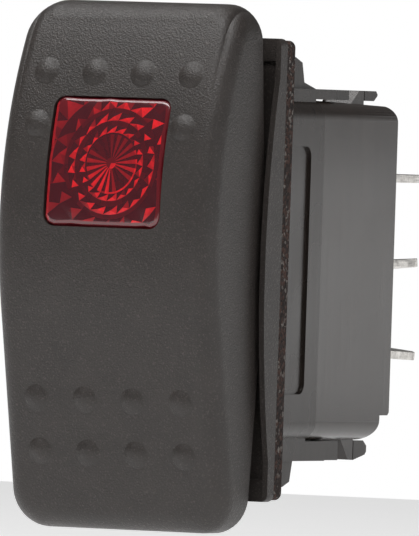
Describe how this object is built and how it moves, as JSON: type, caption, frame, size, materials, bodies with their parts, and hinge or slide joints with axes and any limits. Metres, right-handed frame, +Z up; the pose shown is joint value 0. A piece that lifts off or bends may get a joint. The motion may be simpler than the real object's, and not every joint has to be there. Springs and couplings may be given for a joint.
{
  "type": "panel rocker switch",
  "caption": "Snap-in panel rocker switch with a textured dotted rocker, square red prismatic lens, panel gasket and rear blade terminals.",
  "frame": {"origin": "centre of the gasket's rear face, which seats on the front of the panel", "axes": "+Y into the panel, +Z up with the lens above the middle, +X to the right as seen from the front"},
  "size_m": [0.0252, 0.0481, 0.0494],
  "materials": {
    "rocker": "fine textured",
    "lens": "red transparent, polished",
    "light_pipe": "clear",
    "actuator": "natural nylon",
    "pivot_pin": "ground steel",
    "bezel_bracket": "fine textured",
    "panel_gasket": "speckled foam",
    "seal_plate": "translucent silicone",
    "base_housing": "moulded, satin gloss",
    "plunger_left": "nylon",
    "plunger_right": "nylon",
    "plunger_spring_left": "spring wire",
    "plunger_spring_right": "spring wire",
    "contact_arm_left": "copper alloy",
    "contact_arm_right": "copper alloy",
    "arm_buttons_left": "silver alloy",
    "arm_buttons_right": "silver alloy",
    "fixed_buttons": "silver alloy",
    "terminal_left_top": "tin-plated brass",
    "terminal_left_middle": "tin-plated brass",
    "terminal_left_bottom": "tin-plated brass",
    "terminal_right_top": "tin-plated brass",
    "terminal_right_middle": "tin-plated brass",
    "terminal_right_bottom": "tin-plated brass",
    "lamp_terminal_top": "tin-plated brass",
    "lamp_terminal_bottom": "tin-plated brass",
    "lamp_board": "circuit board",
    "lamp": "tinted lamp body",
    "lamp_resistor": "film resistor",
    "lamp_lead": "tinned strip"
  },
  "bodies": {
    "housing": {"bezel_bracket": "bezel_bracket", "panel_gasket": "panel_gasket", "seal_plate": "seal_plate", "base_housing": "base_housing", "pivot_pin": "pivot_pin", "fixed_buttons": "fixed_buttons", "terminal_left_top": "terminal_left_top", "terminal_left_middle": "terminal_left_middle", "terminal_left_bottom": "terminal_left_bottom", "terminal_right_top": "terminal_right_top", "terminal_right_middle": "terminal_right_middle", "terminal_right_bottom": "terminal_right_bottom", "lamp_terminal_top": "lamp_terminal_top", "lamp_terminal_bottom": "lamp_terminal_bottom", "lamp_board": "lamp_board", "lamp": "lamp", "lamp_resistor": "lamp_resistor", "lamp_lead": "lamp_lead"},
    "rocker_body": {"rocker": "rocker", "lens": "lens", "light_pipe": "light_pipe", "actuator": "actuator", "plunger_spring_left": "plunger_spring_left", "plunger_spring_right": "plunger_spring_right"},
    "plunger_left_body": {"plunger_left": "plunger_left"},
    "plunger_right_body": {"plunger_right": "plunger_right"},
    "arm_left_body": {"contact_arm_left": "contact_arm_left", "arm_buttons_left": "arm_buttons_left"},
    "arm_right_body": {"contact_arm_right": "contact_arm_right", "arm_buttons_right": "arm_buttons_right"}
  },
  "joints": [
    {"name": "rocker_tilt", "type": "hinge", "parent": "housing", "child": "rocker_body", "pos_m": [0, -0.0007, 0], "axis": [1, 0, 0], "range_deg": [-5, 5]},
    {"name": "plunger_left_slide", "type": "slide", "parent": "rocker_body", "child": "plunger_left_body", "axis": [0, -1, 0], "range_m": [0, 0.0006], "stiffness_N_per_m": 400, "springref_m": -0.002, "deforming": ["plunger_spring_left"]},
    {"name": "plunger_right_slide", "type": "slide", "parent": "rocker_body", "child": "plunger_right_body", "axis": [0, -1, 0], "range_m": [0, 0.0006], "stiffness_N_per_m": 400, "springref_m": -0.002, "deforming": ["plunger_spring_right"]},
    {"name": "arm_left_tilt", "type": "hinge", "parent": "housing", "child": "arm_left_body", "pos_m": [-0.0058, 0.0143, 0.00055], "axis": [1, 0, 0], "range_deg": [-5, 5]},
    {"name": "arm_right_tilt", "type": "hinge", "parent": "housing", "child": "arm_right_body", "pos_m": [0.0058, 0.0143, 0.00055], "axis": [1, 0, 0], "range_deg": [-5, 5]}
  ],
  "couplings": [
    {"joint": "arm_left_tilt", "follows": "rocker_tilt", "ratio": -1},
    {"joint": "arm_right_tilt", "follows": "rocker_tilt", "ratio": -1}
  ]
}
